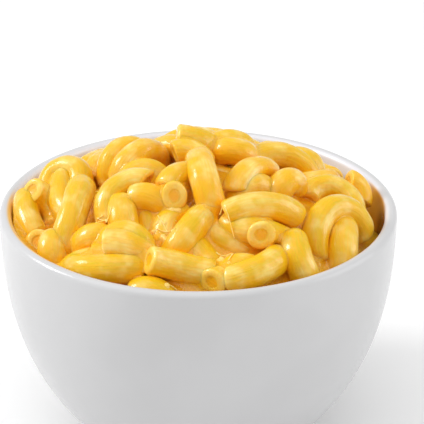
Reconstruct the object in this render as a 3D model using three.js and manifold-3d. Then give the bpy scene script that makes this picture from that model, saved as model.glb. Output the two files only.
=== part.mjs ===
// Macaroni and cheese, heaped in its white porcelain bowl.
// Millimetres, +Z up. The origin is the middle of the bowl's foot, on the table; -Y is the side the diner sees.
import * as THREE from "three";
import { mergeVertices } from "three/addons/utils/BufferGeometryUtils.js";
import Module from "manifold-3d";

const wasm = await Module();
wasm.setup();

// Bowl
const BOWL_HEIGHT = 80;
const RIM_RADIUS = 65; // outside of the lip
const WALL = 4; // at the lip, which is fully round
const BODY_DEPTH = 91; // depth at which the outer curve would close on the axis
const CAVITY_DEPTH = 86.5; // the same for the inner curve
const CURVE_POWER = 2.4; // how late the wall turns in
const CURVE_ROOT = 1.85; // how round the turn is
const FLOOR_HEIGHT = 6.5; // inside floor above the table
const FOOT_OUTER = 33.6;
const FOOT_INNER = 29.5;
const FOOT_HEIGHT = 4;
const FOOT_RECESS = 1.5;
const FOOT_EASE = 0.7; // rounding of the foot's edges
const LIP_STEPS = 6;
const WALL_STEPS = 8;
const ROUND_STEPS = 40; // facets round the bowl

// Heap
const GAP = 0.3; // between the pasta and the bowl
const TUBE_RADIUS = 4.5; // cooked elbow macaroni
const BORE_RADIUS = 2;
const BORE_DEPTH = 3;
const BORE_SIDES = 6;
const BORE_VIEW = 4; // an end is left solid when something lies this close in front of it
const TUBE_SIDES = 8;
const TUBE_STEPS = 4;
const FACET_SWELL = 1.03; // keeps an eight-sided tube as thick as a round one
const CROWN = 16.5; // tube centres at the top of the heap, above the rim
const FALL = 21; // how far the heap falls from its crown to the wall
const HEAP_RADIUS = 57;
const TILT = 0.03; // slope down to the back, mm per mm
const BACK_DROP = 3; // the heap is this much lower behind its ridge
const BACK_RUN = 18; // distance over which it drops
const CORE_SINK = 3.5; // core surface below the tube centres
const CORE_RADIUS = 60.2;
const CORE_RINGS = 5;
const CORE_EDGE_SINK = 4; // how much lower the core lies where it meets the wall
const CORE_EDGE_POWER = 4; // how late it starts to sink
const REACH = 56.3; // tube centres stay inside this radius

const RIM = BOWL_HEIGHT;
const LIP_RADIUS = WALL / 2;
const LIP_LEVEL = BOWL_HEIGHT - LIP_RADIUS;
const ROOM_TOP = RIM + 2 * CROWN;

// The elbows that lie on top, each by its two ends and its middle, in mm from the middle of the rim.
const ELBOWS = [
  // ridge and behind it, from the left
  [[-49, 6.5, 1], [-44.5, 11, 7.5], [-39, 3.5, 4.5]],
  [[-27.5, 6, 3], [-27, 10, 13], [-17.5, 14.5, 9.5]],
  [[-25.5, 1, 8.5], [-18.5, 6.5, 15.5], [-13.5, 13.5, 8]],
  [[-22.5, -5, 9], [-17, -3, 12.5], [-12, -5, 9]],
  [[-7.5, 9, 19.5], [1, 10, 17], [5, 15, 11.5]],
  [[-8, 3.5, 16], [-2, 3.5, 16], [2, 0.5, 13.5]],
  [[5, 16, 12], [11, 13, 16], [15, 17, 10]],
  [[7.5, 12, 11.5], [11, 7, 15.5], [16, 10, 12]],
  [[16, 10.5, 8.5], [27.5, 16, 10.5], [37.5, 16.5, 1.5]],
  [[30, 24, 3], [36, 22.5, 5.5], [38.5, 20, 0]],
  [[49.5, 9, 3.5], [53, 8.5, 1], [53, 6, -2.5]],
  // left side
  [[-54.5, -1, 5], [-48.5, 0, -1.5], [-46.5, -8, -6]],
  [[-56.5, 4, 0.5], [-56, -5, -2], [-52, -13, -6.5]],
  [[-43, -29.5, -4], [-39, -21, 7.5], [-37.5, -6, 8.5]],
  [[-44.5, 8, 5], [-45, -1.5, 3], [-41.5, -10.5, 0]],
  // middle
  [[-16.5, -16, 14.5], [-26.5, -18, 12], [-27.5, -25.5, 4.5]],
  [[-24, -22, 10], [-23.5, -29, 8], [-22.5, -32.5, 2]],
  [[-19.5, -21.5, 11.5], [-13.5, -23, 12], [-10, -22, 7.5]],
  [[-7.5, -26.5, 14.5], [-6, -18, 12], [-1, -11, 10.5]],
  [[-10, -21, 14.5], [-5.5, -15.5, 17], [0.5, -13, 13.5]],
  [[1, -2.5, 14.5], [1, -17, 19.5], [5, -26.5, 8]],
  [[11.5, -17.5, 12], [15.5, -10.5, 15.5], [22.5, -1.5, 11.5]],
  [[12, -18, 8], [17, -14, 12.5], [22, -11.5, 7.5]],
  [[25, -13.5, 8.5], [28.5, -10.5, 12.5], [31, -7, 8]],
  // right side
  [[31.5, 9.5, 1.5], [38, 7.5, 3.5], [43.5, 12, 2]],
  [[35, -3.5, 2.5], [45, 3, 3.5], [50, -5.5, -3]],
  [[8.5, -32, 10.5], [20.5, -29, 12.5], [30.5, -24, 6]],
  [[9.5, -31, 6.5], [15.5, -35, 7], [22, -34, 5]],
  [[37.5, -30.5, -6], [42, -19, 6.5], [53, -14, -6]],
  [[46, -17.5, -0.5], [45.5, -28, -0.5], [45, -33.5, -9]],
  // front, from the left
  [[-51, -22, -3.5], [-48, -20, -8], [-45, -24.5, -9.5]],
  [[-45, -26.5, -0.5], [-45.5, -32.5, -3], [-43.5, -32, -9]],
  [[-35, -30.5, -3], [-33, -32.5, 3], [-27, -32, 1]],
  [[-40.5, -37.5, -8], [-35.5, -40.5, -2], [-27, -39, -1.5]],
  [[-32.5, -40.5, 0], [-26.5, -41, 0], [-22, -39, -4]],
  [[-27.5, -36, 2], [-21, -38.5, 7], [-16.5, -41.5, 0]],
  [[-28.5, -41.5, 5.5], [-21.5, -42.5, 5.5], [-15.5, -41.5, 2]],
  [[-38, -40.5, -3.5], [-29.5, -47, -0.5], [-18, -46, -0.5]],
  [[-18.5, -53, -5.5], [-12.5, -54.5, -4.5], [-9, -55, -9.5]],
  [[-15, -50.5, 4.5], [-5.5, -47.5, 0.5], [4.5, -48, -2]],
  [[2, -24, 6], [-1.5, -35, 8], [-8, -40, 0.5]],
  [[-2, -35.5, 2.5], [2.5, -42, -1], [8.5, -45.5, -7]],
  [[4, -54, -1.5], [8, -47.5, -3.5], [11.5, -42, -7]],
  [[19, -41, 8], [23, -33.5, 4], [30, -30, -1.5]],
  [[9.5, -46.5, -3], [14, -47.5, 0.5], [16.5, -46, -5]],
  [[9.5, -52.5, -1.5], [19, -50, 1], [24, -41, 0]],
  [[29.5, -35, 3], [30.5, -43, 1], [33.5, -43.5, -6.5]],
  // lower layer, seen between the others
  [[-4, -23.5, 6.5], [-9.5, -28.5, 6], [-10, -34.5, 1]],
  [[5, -31, 4], [9.5, -35.5, 2.5], [15, -34, -1]],
  [[-15, -14.5, 7.5], [-16, -23.5, 5.5], [-14, -31, 0.5]],
];

// Pieces that nobody counts one by one: laid by a seeded rule where the ones above leave room.
const FILL = [
  { seed: 11, slots: 90, lift: 0, front: 16, room: 5.6 }, // behind the ridge
  { seed: 23, slots: 120, lift: -6, front: -60, room: 7.6 }, // under the top layer
];
const FILL_RADIUS = 52;
const FILL_TRIES = 24;
const FILL_SHIFT = 3;
const FILL_LENGTH = [22, 29];
const FILL_BEND = [75, 115];
const FILL_ROLL = 1.6;
const FILL_LIFT = [-1, 1.5];
const GOLDEN_ANGLE = Math.PI * (3 - Math.sqrt(5));
const SAMPLES = 9; // points along an elbow when distances are measured
const SLOPE_STEP = 0.5;
const MERGE_DISTANCE = 1e-4;

// Radius of a wall curve at a depth below the lip's centre.
function wallRadius(lipRadius, closingDepth, depth) {
  const share = 1 - (depth / closingDepth) ** CURVE_POWER;
  return lipRadius * share ** (1 / CURVE_ROOT);
}

const outerRadius = (z) => wallRadius(RIM_RADIUS, BODY_DEPTH, LIP_LEVEL - z);
const innerRadius = (z) => wallRadius(RIM_RADIUS - WALL, CAVITY_DEPTH, LIP_LEVEL - z);

// Heights down a wall, closer together towards the bottom, where it turns in.
function wallHeights(top, bottom) {
  const heights = [];
  for (let i = 0; i <= WALL_STEPS; i += 1) {
    const t = Math.sin((i / WALL_STEPS) * (Math.PI / 2));
    heights.push(top + (bottom - top) * t);
  }
  return heights;
}

function lathe(profile) {
  const points = profile.map(([r, z]) => new THREE.Vector2(r, z));
  const geometry = new THREE.LatheGeometry(points, ROUND_STEPS);
  geometry.rotateX(Math.PI / 2); // the lathe turns round Y
  return geometry;
}

function bowlGeometry() {
  const profile = [
    [0, FOOT_RECESS],
    [FOOT_INNER - FOOT_EASE, FOOT_RECESS],
    [FOOT_INNER, 0],
    [FOOT_OUTER, 0],
    [FOOT_OUTER + FOOT_EASE, FOOT_EASE],
    [FOOT_OUTER + 2 * FOOT_EASE, FOOT_HEIGHT / 2],
  ];
  for (const z of wallHeights(LIP_LEVEL, FOOT_HEIGHT).reverse()) {
    profile.push([outerRadius(z), z]);
  }
  for (let i = 1; i < LIP_STEPS; i += 1) {
    const a = (i / LIP_STEPS) * Math.PI;
    const r = RIM_RADIUS - LIP_RADIUS + LIP_RADIUS * Math.cos(a);
    profile.push([r, LIP_LEVEL + LIP_RADIUS * Math.sin(a)]);
  }
  for (const z of wallHeights(LIP_LEVEL, FLOOR_HEIGHT)) {
    profile.push([innerRadius(z), z]);
  }
  profile.push([0, FLOOR_HEIGHT]);
  return lathe(profile);
}

// Level of the tube centres in the heap's top layer, above the rim.
function heapLevel(x, y) {
  const t = THREE.MathUtils.clamp(y / BACK_RUN, 0, 1);
  const drop = BACK_DROP * t * t * (3 - 2 * t);
  return CROWN - (FALL * (x * x + y * y)) / HEAP_RADIUS ** 2 - TILT * y - drop;
}

function heapNormal(x, y) {
  const dx = heapLevel(x + SLOPE_STEP, y) - heapLevel(x - SLOPE_STEP, y);
  const dy = heapLevel(x, y + SLOPE_STEP) - heapLevel(x, y - SLOPE_STEP);
  return new THREE.Vector3(-dx, -dy, 2 * SLOPE_STEP).normalize();
}

// The circular arc through three points.
class ElbowArc extends THREE.Curve {
  constructor(start, middle, end) {
    super();
    const a = middle.clone().sub(start);
    const b = end.clone().sub(start);
    const axis = a.clone().cross(b);
    const twice = 2 * axis.lengthSq();
    const toCentre = axis.clone().cross(a).multiplyScalar(b.lengthSq());
    toCentre.add(b.clone().cross(axis).multiplyScalar(a.lengthSq())).divideScalar(twice);
    this.centre = start.clone().add(toCentre);
    this.u = start.clone().sub(this.centre);
    this.v = axis.normalize().cross(this.u);
    this.sweep = this.angle(end);
  }

  angle(point) {
    const arm = point.clone().sub(this.centre);
    const a = Math.atan2(arm.dot(this.v), arm.dot(this.u));
    return a < 0 ? a + 2 * Math.PI : a;
  }

  getPoint(t, target = new THREE.Vector3()) {
    const a = this.sweep * t;
    target.copy(this.centre);
    return target.addScaledVector(this.u, Math.cos(a)).addScaledVector(this.v, Math.sin(a));
  }
}

const vector = (p) => new THREE.Vector3(...p);
const samples = (curve) => curve.getPoints(SAMPLES - 1);

// Park and Miller's generator: the same numbers on every run.
function drawer(seed) {
  let state = seed;
  return (low, high) => {
    state = (state * 16807) % 2147483647;
    return low + ((high - low) * state) / 2147483647;
  };
}

// An elbow lying on the heap at (x, y), its chord along heading and its bulge rolled off the heap's normal.
function lyingElbow(x, y, z, heading, roll, length, bend) {
  const normal = heapNormal(x, y);
  const chord = new THREE.Vector3(Math.cos(heading), Math.sin(heading), 0);
  chord.addScaledVector(normal, -chord.dot(normal)).normalize();
  const side = normal.clone().cross(chord);
  const bulge = normal.multiplyScalar(Math.cos(roll)).addScaledVector(side, Math.sin(roll));
  const radius = length / bend;
  const half = radius * Math.sin(bend / 2);
  const rise = radius * (1 - Math.cos(bend / 2));
  const middle = new THREE.Vector3(x, y, z).addScaledVector(bulge, rise / 2);
  const start = middle.clone().addScaledVector(chord, -half).addScaledVector(bulge, -rise);
  const end = middle.clone().addScaledVector(chord, half).addScaledVector(bulge, -rise);
  return new ElbowArc(start, middle, end);
}

function clearance(points, placed) {
  let least = Infinity;
  for (const other of placed) {
    for (const p of points) {
      for (const q of other) {
        least = Math.min(least, p.distanceTo(q));
      }
    }
  }
  return least;
}

// Each slot of a sunflower pattern takes the try that lies clearest of the pieces already there.
function fillElbows(placed, { seed, slots, lift, front, room }) {
  const draw = drawer(seed);
  const added = [];
  for (let i = 0; i < slots; i += 1) {
    const r = FILL_RADIUS * Math.sqrt((i + 0.5) / slots);
    const a = i * GOLDEN_ANGLE;
    let best = null;
    let most = room;
    for (let k = 0; k < FILL_TRIES; k += 1) {
      const x = r * Math.cos(a) + draw(-FILL_SHIFT, FILL_SHIFT);
      const y = r * Math.sin(a) + draw(-FILL_SHIFT, FILL_SHIFT);
      const heading = draw(0, 2 * Math.PI);
      const roll = draw(-FILL_ROLL, FILL_ROLL);
      const length = draw(...FILL_LENGTH);
      const bend = THREE.MathUtils.degToRad(draw(...FILL_BEND));
      const z = heapLevel(x, y) + lift + draw(...FILL_LIFT);
      const curve = lyingElbow(x, y, z, heading, roll, length, bend);
      const points = samples(curve);
      if (y < front || points.some((p) => Math.hypot(p.x, p.y) > REACH)) continue;
      const gap = clearance(points, placed);
      if (gap > most) {
        best = curve;
        most = gap;
      }
    }
    if (best) {
      placed.push(samples(best));
      added.push(best);
    }
  }
  return added;
}

function polygon(radius, sides) {
  const points = [];
  for (let i = 0; i < sides; i += 1) {
    const a = ((i + 0.5) / sides) * 2 * Math.PI;
    points.push(new THREE.Vector2(radius * Math.cos(a), radius * Math.sin(a)));
  }
  return new THREE.Shape(points);
}

function solid(geometry) {
  geometry.deleteAttribute("normal");
  geometry.deleteAttribute("uv");
  const merged = mergeVertices(geometry, MERGE_DISTANCE);
  const vertProperties = new Float32Array(merged.attributes.position.array);
  const triVerts = new Uint32Array(merged.index.array);
  return new wasm.Manifold(new wasm.Mesh({ numProp: 3, vertProperties, triVerts }));
}

function tubeSolid(curve) {
  const shape = polygon(TUBE_RADIUS * FACET_SWELL, TUBE_SIDES);
  const options = { steps: TUBE_STEPS, extrudePath: curve, bevelEnabled: false };
  return solid(new THREE.ExtrudeGeometry(shape, options));
}

// A short hole in one end of an elbow.
function boreSolid(curve, t) {
  const end = curve.getPoint(t);
  const inward = curve.getTangent(t).multiplyScalar(t === 0 ? 1 : -1);
  const outside = end.clone().addScaledVector(inward, -1);
  const inside = end.clone().addScaledVector(inward, BORE_DEPTH);
  const path = new THREE.LineCurve3(outside, inside);
  const shape = polygon(BORE_RADIUS, BORE_SIDES);
  return solid(new THREE.ExtrudeGeometry(shape, { steps: 1, extrudePath: path, bevelEnabled: false }));
}

// An end shows when it looks out over the core and no other elbow lies in front of it.
function endShows(curve, t, curves) {
  const outward = curve.getTangent(t).multiplyScalar(t === 0 ? -1 : 1);
  const eye = curve.getPoint(t).addScaledVector(outward, BORE_VIEW);
  if (eye.z < RIM + heapLevel(eye.x, eye.y)) return false;
  return curves.every((other) => other === curve || clearance([eye], [samples(other)]) > TUBE_RADIUS);
}

// The bowl's inside, less the gap, carried straight up past the rim.
function roomSolid() {
  const profile = [[0, FLOOR_HEIGHT + GAP]];
  for (const z of wallHeights(LIP_LEVEL, FLOOR_HEIGHT).reverse()) {
    profile.push([innerRadius(z) - GAP, Math.max(z, FLOOR_HEIGHT + GAP)]);
  }
  profile.push([innerRadius(LIP_LEVEL) - GAP, ROOM_TOP]);
  profile.push([0, ROOM_TOP]);
  return solid(lathe(profile));
}

// The heap's packed inside: it fills the bowl and follows the heap's level a little below the tube centres.
function coreSolid() {
  const profile = [
    [0, 0],
    [CORE_RADIUS, 0],
  ];
  for (let i = CORE_RINGS; i >= 0; i -= 1) {
    profile.push([(CORE_RADIUS * i) / CORE_RINGS, RIM]);
  }
  const geometry = lathe(profile);
  const position = geometry.attributes.position;
  for (let i = 0; i < position.count; i += 1) {
    if (position.getZ(i) < RIM / 2) continue;
    const x = position.getX(i);
    const y = position.getY(i);
    const edge = (Math.hypot(x, y) / CORE_RADIUS) ** CORE_EDGE_POWER;
    position.setZ(i, RIM + heapLevel(x, y) - CORE_SINK - CORE_EDGE_SINK * edge);
  }
  return solid(geometry);
}

function heapGeometry() {
  const curves = ELBOWS.map((points) => new ElbowArc(...points.map(vector)));
  const placed = curves.map(samples);
  for (const rule of FILL) {
    curves.push(...fillElbows(placed, rule));
  }
  for (const curve of curves) {
    curve.centre.z += RIM;
  }
  let heap = coreSolid();
  for (const curve of curves) {
    heap = heap.add(tubeSolid(curve));
  }
  for (const curve of curves) {
    for (const t of [0, 1]) {
      if (endShows(curve, t, curves)) heap = heap.subtract(boreSolid(curve, t));
    }
  }
  heap = heap.intersect(roomSolid());
  const pieces = heap.decompose().sort((a, b) => b.volume() - a.volume());
  const mesh = pieces[0].getMesh();
  const geometry = new THREE.BufferGeometry();
  geometry.setAttribute("position", new THREE.BufferAttribute(new Float32Array(mesh.vertProperties), 3));
  geometry.setIndex(new THREE.BufferAttribute(new Uint32Array(mesh.triVerts), 1));
  return geometry;
}

function part(name, geometry, color, roughness) {
  const material = new THREE.MeshStandardMaterial({ color, roughness, metalness: 0 });
  const mesh = new THREE.Mesh(geometry, material);
  mesh.name = name;
  return mesh;
}

const dish = new THREE.Group();
dish.add(part("bowl", bowlGeometry(), 0xf1f1f2, 0.2));
dish.add(part("macaroni_heap", heapGeometry(), 0xf6bf3f, 0.35));

export default dish;
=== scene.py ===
"""Macaroni and cheese, heaped in its white porcelain bowl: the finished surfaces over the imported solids.

The layout is worked out in millimetres in the CAD model's frame: +Z up, the origin under the middle of the
bowl's foot, -Y towards the diner. Every mesh is turned into metres as it is made.
"""
import math

import bpy
import numpy as np
import openvdb
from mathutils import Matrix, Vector


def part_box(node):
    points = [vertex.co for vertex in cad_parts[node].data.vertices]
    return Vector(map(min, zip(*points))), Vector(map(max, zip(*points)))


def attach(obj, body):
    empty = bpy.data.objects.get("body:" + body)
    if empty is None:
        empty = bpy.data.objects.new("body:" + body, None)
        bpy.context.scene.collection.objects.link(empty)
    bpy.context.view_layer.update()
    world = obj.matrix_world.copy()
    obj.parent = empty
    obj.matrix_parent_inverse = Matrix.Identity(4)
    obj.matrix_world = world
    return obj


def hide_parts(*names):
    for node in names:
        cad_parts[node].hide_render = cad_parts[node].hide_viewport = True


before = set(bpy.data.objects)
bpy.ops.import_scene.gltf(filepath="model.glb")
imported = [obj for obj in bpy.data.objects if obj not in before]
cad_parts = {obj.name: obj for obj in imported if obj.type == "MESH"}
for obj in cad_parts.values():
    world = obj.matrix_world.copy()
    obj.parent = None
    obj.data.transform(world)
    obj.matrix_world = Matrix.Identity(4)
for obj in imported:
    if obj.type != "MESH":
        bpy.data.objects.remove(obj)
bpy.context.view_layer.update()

MM = 0.001
BODY = "root"

# Bowl, in mm
BOWL_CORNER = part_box("bowl")[1]
RIM = BOWL_CORNER.z / MM
RIM_RADIUS = BOWL_CORNER.x / MM
WALL = 4  # at the lip, which is fully round
INNER_RADIUS = RIM_RADIUS - WALL
LIP_RADIUS = WALL / 2
LIP_LEVEL = RIM - LIP_RADIUS
BODY_DEPTH = 91  # depth at which the outer curve would close on the axis
CAVITY_DEPTH = 86.5  # the same for the inner curve
CURVE_POWER = 2.4
CURVE_ROOT = 1.85
FLOOR_HEIGHT = 6.5
FOOT_OUTER = 33.6
FOOT_INNER = 29.5
FOOT_HEIGHT = 4
FOOT_RECESS = 1.5
FOOT_EASE = 0.7
BOWL_ROUND_STEPS = 192
BOWL_WALL_STEPS = 48
LIP_STEPS = 16

# Colour laid thin on the inner wall: a spot, its reach in mm, its colour, how much it covers and from how
# far across the lip, where 1 is the lip's inner edge. At the left these are films of sauce; at the right they
# are partly a film of sauce and partly painted shade and painted reflection of the pasta in the glaze
SAUCE_FILMS_AND_PAINTED_SHADE = (
    # partly a film of sauce, partly painted shade and painted reflection of the pasta: amber
    ((60, 8, 69), 19, "#DCA42C", 1.0, 0.85),
    # painted shade: dark brown low in the pocket between the heap and the wall
    ((60.5, 0, 66), 13, "#7A420C", 0.9, 0.85),
    # films of sauce on the lip's inner edge at the left
    ((-61, -6, 76), 20, "#E6B234", 0.85, 0.5),
    ((-53, -31, 76), 18, "#E6B234", 0.85, 0.5),
)
FILM_CORE = 0.5  # share of its reach within which a film covers fully
FILM_EDGE = 0.25  # share of the lip's width over which it thins out

# An elbow, in mm
TUBE_RADIUS = 4.5  # cooked elbow macaroni
BORE_RADIUS = 1.95
MOUTH_ROUND = 1.4  # how round the cut ends have gone in cooking
BORE_ROUND = MOUTH_ROUND / 2
PLUG_DEPTH = 0.6  # sauce stands in each mouth this far down
PLUG_DISH = ((0, 1), (0.5, 0.93), (0.85, 0.7))  # its surface, in shares of the bore's radius and of the depth
PLUG_EDGE = 0.6  # share of its depth at which it meets the bore
BLANK_LENGTH = 25  # of the straight blank, which each elbow stretches to its own length
BLANK_SIDES = 38
BLANK_STEPS = 25
MOUTH_STEPS = 5
BORE_STEPS = 4
ELBOW_SHAPE = {  # inputs of the Geometry Nodes tree
    "Unevenness": 0.9,  # from the lowest place of a skin to the highest, at most
    "Lump size": 9.0,
    "Cut slant": 0.035,  # range of the cuts' lean, as a share of the length for each mm across
    "Flattening": 0.1,  # share of its thickness that an elbow has lost, at most
}
WIDENING = 0.6  # share of the lost thickness that an elbow gains in width
TOP_SEED = 3
UNDER_SEED = 5

# Heap, in mm
CROWN = 16.5  # tube centres at the top of the heap, above the rim
FALL = 21  # from the crown down to the tube centres at HEAP_RADIUS
HEAP_RADIUS = 57
TILT = 0.03  # fall for each mm towards the back
BACK_DROP = 3  # the back lies this much lower still, BACK_RUN behind the middle
BACK_RUN = 18
SLOPE_STEP = 0.5
ARC_POINTS = 9  # points of an arc that stand for it when elbows are kept apart

# The elbows that lie on top, each by its two ends and its middle, in mm from the middle of the rim.
ELBOWS = (
    # ridge and behind it, from the left
    ((-49, 6.5, 1), (-44.5, 11, 7.5), (-39, 3.5, 4.5)),
    ((-27.5, 6, 3), (-27, 10, 13), (-17.5, 14.5, 9.5)),
    ((-25.5, 1, 8.5), (-18.5, 6.5, 15.5), (-13.5, 13.5, 8)),
    ((-22.5, -5, 9), (-17, -3, 12.5), (-12, -5, 9)),
    ((-7.5, 9, 19.5), (1, 10, 17), (5, 15, 11.5)),
    ((-8, 3.5, 16), (-2, 3.5, 16), (2, 0.5, 13.5)),
    ((5, 16, 12), (11, 13, 16), (15, 17, 10)),
    ((7.5, 12, 11.5), (11, 7, 15.5), (16, 10, 12)),
    ((16, 10.5, 8.5), (27.5, 16, 10.5), (37.5, 16.5, 1.5)),
    ((30, 24, 3), (36, 22.5, 5.5), (38.5, 20, 0)),
    ((49.5, 9, 3.5), (53, 8.5, 1), (53, 6, -2.5)),
    # left side
    ((-54.5, -1, 5), (-48.5, 0, -1.5), (-46.5, -8, -6)),
    ((-56.5, 4, 0.5), (-56, -5, -2), (-52, -13, -6.5)),
    ((-43, -29.5, -4), (-39, -21, 7.5), (-37.5, -6, 8.5)),
    ((-44.5, 8, 5), (-45, -1.5, 3), (-41.5, -10.5, 0)),
    # middle
    ((-16.5, -16, 14.5), (-26.5, -18, 12), (-27.5, -25.5, 4.5)),
    ((-24, -22, 10), (-23.5, -29, 8), (-22.5, -32.5, 2)),
    ((-19.5, -21.5, 11.5), (-13.5, -23, 12), (-10, -22, 7.5)),
    ((-7.5, -26.5, 14.5), (-6, -18, 12), (-1, -11, 10.5)),
    ((-10, -21, 14.5), (-5.5, -15.5, 17), (0.5, -13, 13.5)),
    ((1, -2.5, 14.5), (1, -17, 19.5), (5, -26.5, 8)),
    ((11.5, -17.5, 12), (15.5, -10.5, 15.5), (22.5, -1.5, 11.5)),
    ((12, -18, 8), (17, -14, 12.5), (22, -11.5, 7.5)),
    ((25, -13.5, 8.5), (28.5, -10.5, 12.5), (31, -7, 8)),
    # right side
    ((31.5, 9.5, 1.5), (38, 7.5, 3.5), (43.5, 12, 2)),
    ((35, -3.5, 2.5), (45, 3, 3.5), (50, -5.5, -3)),
    ((8.5, -32, 10.5), (20.5, -29, 12.5), (30.5, -24, 6)),
    ((9.5, -31, 6.5), (15.5, -35, 7), (22, -34, 5)),
    ((37.5, -30.5, -6), (42, -19, 6.5), (53, -14, -6)),
    ((46, -17.5, -0.5), (45.5, -28, -0.5), (45, -33.5, -9)),
    # front, from the left
    ((-51, -22, -3.5), (-48, -20, -8), (-45, -24.5, -9.5)),
    ((-45, -26.5, -0.5), (-45.5, -32.5, -3), (-43.5, -32, -9)),
    ((-35, -30.5, -3), (-33, -32.5, 3), (-27, -32, 1)),
    ((-40.5, -37.5, -8), (-35.5, -40.5, -2), (-27, -39, -1.5)),
    ((-32.5, -40.5, 0), (-26.5, -41, 0), (-22, -39, -4)),
    ((-27.5, -36, 2), (-21, -38.5, 7), (-16.5, -41.5, 0)),
    ((-28.5, -41.5, 5.5), (-21.5, -42.5, 5.5), (-15.5, -41.5, 2)),
    ((-38, -40.5, -3.5), (-29.5, -47, -0.5), (-18, -46, -0.5)),
    ((-18.5, -53, -5.5), (-12.5, -54.5, -4.5), (-9, -55, -9.5)),
    ((-15, -50.5, 4.5), (-5.5, -47.5, 0.5), (4.5, -48, -2)),
    ((2, -24, 6), (-1.5, -35, 8), (-8, -40, 0.5)),
    ((-2, -35.5, 2.5), (2.5, -42, -1), (8.5, -45.5, -7)),
    ((4, -54, -1.5), (8, -47.5, -3.5), (11.5, -42, -7)),
    ((19, -41, 8), (23, -33.5, 4), (30, -30, -1.5)),
    ((9.5, -46.5, -3), (14, -47.5, 0.5), (16.5, -46, -5)),
    ((9.5, -52.5, -1.5), (19, -50, 1), (24, -41, 0)),
    ((29.5, -35, 3), (30.5, -43, 1), (33.5, -43.5, -6.5)),
    # lower layer, seen between the others
    ((-4, -23.5, 6.5), (-9.5, -28.5, 6), (-10, -34.5, 1)),
    ((5, -31, 4), (9.5, -35.5, 2.5), (15, -34, -1)),
    ((-15, -14.5, 7.5), (-16, -23.5, 5.5), (-14, -31, 0.5)),
)

# Pieces that nobody counts one by one: laid by a seeded rule where the ones above leave room. Each layer lies
# at its lift off the heap's level and behind its front, and room is the least gap between tube centres.
FILL = (
    {"seed": 11, "slots": 90, "lift": 0, "front": 16, "room": 5.6},  # behind the ridge
    {"seed": 23, "slots": 120, "lift": -6, "front": -60, "room": 7.6},  # under the top layer
    {"seed": 37, "slots": 150, "lift": -9, "front": -60, "room": 6.2},  # deep in the gaps
)
FILL_RADIUS = 52  # slots lie within it
FILL_REACH = 56.3  # tube centres stay within this
FILL_TRIES = 24  # for each slot
FILL_SHIFT = 3  # how far from its slot a try may lie, each way
FILL_LENGTH = (22, 29)
FILL_BEND = (75, 115)  # degrees
FILL_ROLL = 1.6  # radians off the heap's normal, each way
FILL_LIFT = (-1, 1.5)
GOLDEN_ANGLE = math.pi * (3 - math.sqrt(5))
DRAW_FACTOR = 16807  # of Park and Miller's generator
DRAW_RANGE = 2 ** 31 - 1

# Cheese sauce, in mm
VOXEL = 0.75
GRID_MARGIN = 2
GRID_HEADROOM = 9  # above the crown
SAUCE_SINK = 6.0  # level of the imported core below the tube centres
LEVEL_SLOPE = 1.15  # the heap falls away, so the height above its level overstates the distance to it
CLING = 12  # the sauce climbs this far up the wall on the left, where elbows lean on it
CLING_START = 54  # distance from the middle at which it starts to climb
SAUCE_BLEND = 3.0  # radius of the fillets that the sauce makes where elbows touch
SAUCE_SHRINK = 0.8  # sauce lies this far inside the elbows' own skin
END_SINK = PLUG_DEPTH + 0.6  # and this far inside their ends
WALL_GAP = 0.1  # between the sauce and the bowl, so that their skins never share a place
FAR = 6.0  # distances are worked out this close to a surface
ADAPTIVITY = 0.03  # how readily the sauce's mesh goes coarser where it is flat
OPENNESS_REACHES = (1.5, 3.0, 5.0)  # how far above a point its surroundings are felt for
CURDS = (  # where the sauce has curdled: a place, how far it spreads and how many lumps
    (-12, -33, 2.5, 8), (-9.5, -37.5, 2.5, 6), (-7, -30, 2, 6), (-34, -27.5, 2, 4), (8, -43, 2.5, 5),
    (-8, -55, 1.5, 3),
)
CURD_SEED = 71
CURD_RADIUS = (0.45, 0.9)
CURD_SINK = 0.55
CURD_FADE = 2 * CURD_SINK  # how far round a lump its pale colour runs out
LOOK_ABOVE = 8  # the surface over a spot is looked for from this far above the crown
LOOK_BELOW = 16  # down to this far below the rim
LOOK_STEP = 0.2

# Threads of melted cheese drawn across the gaps, each by its two ends, in mm
STRINGS = (
    ((-35.5, -27.5), (-28, -31)), ((-35, -26), (-29.5, -28)), ((-31.5, -27), (-28, -32)),
    ((-27, -29), (-28.5, -33)), ((-35, 0), (-30.5, -7.5)), ((5.5, -42), (8.5, -45)), ((7, -43.5), (10, -46)),
    ((6.5, -32), (11, -39)), ((-9.5, -55.5), (-6.5, -54.5)), ((9, -49.5), (10.5, -46.5)),
    ((-8.5, -37.5), (-6, -32)), ((-12.5, -30), (-9.5, -36)), ((-13, -34), (-7, -39)),
)
STRING_RADIUS = 0.24
STRING_STEPS = 20
STRING_SIDES = 8
STRING_SAG = 0.12  # of its length
STRING_REST = 0.4  # share of its radius by which its middle lies off what it rests on
STRING_SMOOTHING = 3  # rounds
STRING_WAIST = 0.45  # share of its radius that is left in the middle
STRING_FLARE = 1.1  # how much it thickens towards its ends
STRING_BEADS = 0.25  # how much it thickens in its beads
STRING_BEAD_TURNS = 17  # radians of beads along it

# Colours by how open the view is above a point, from deep in a gap to a free crest: painted light, brighter
# deep in the gaps against the shade there and darker on free crests; the sauce is also more orange in the
# gaps, where it lies thicker
PASTA_PAINTED_LIGHT_TONES = ((0.0, "#FDC41A"), (0.3, "#F4BE10"), (0.65, "#E1B508"), (1.0, "#DEB608"))
SAUCE_PAINTED_LIGHT_TONES = ((0.0, "#FCB21C"), (0.3, "#F4AE14"), (0.7, "#EAAF12"), (1.0, "#E6B316"))

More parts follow.
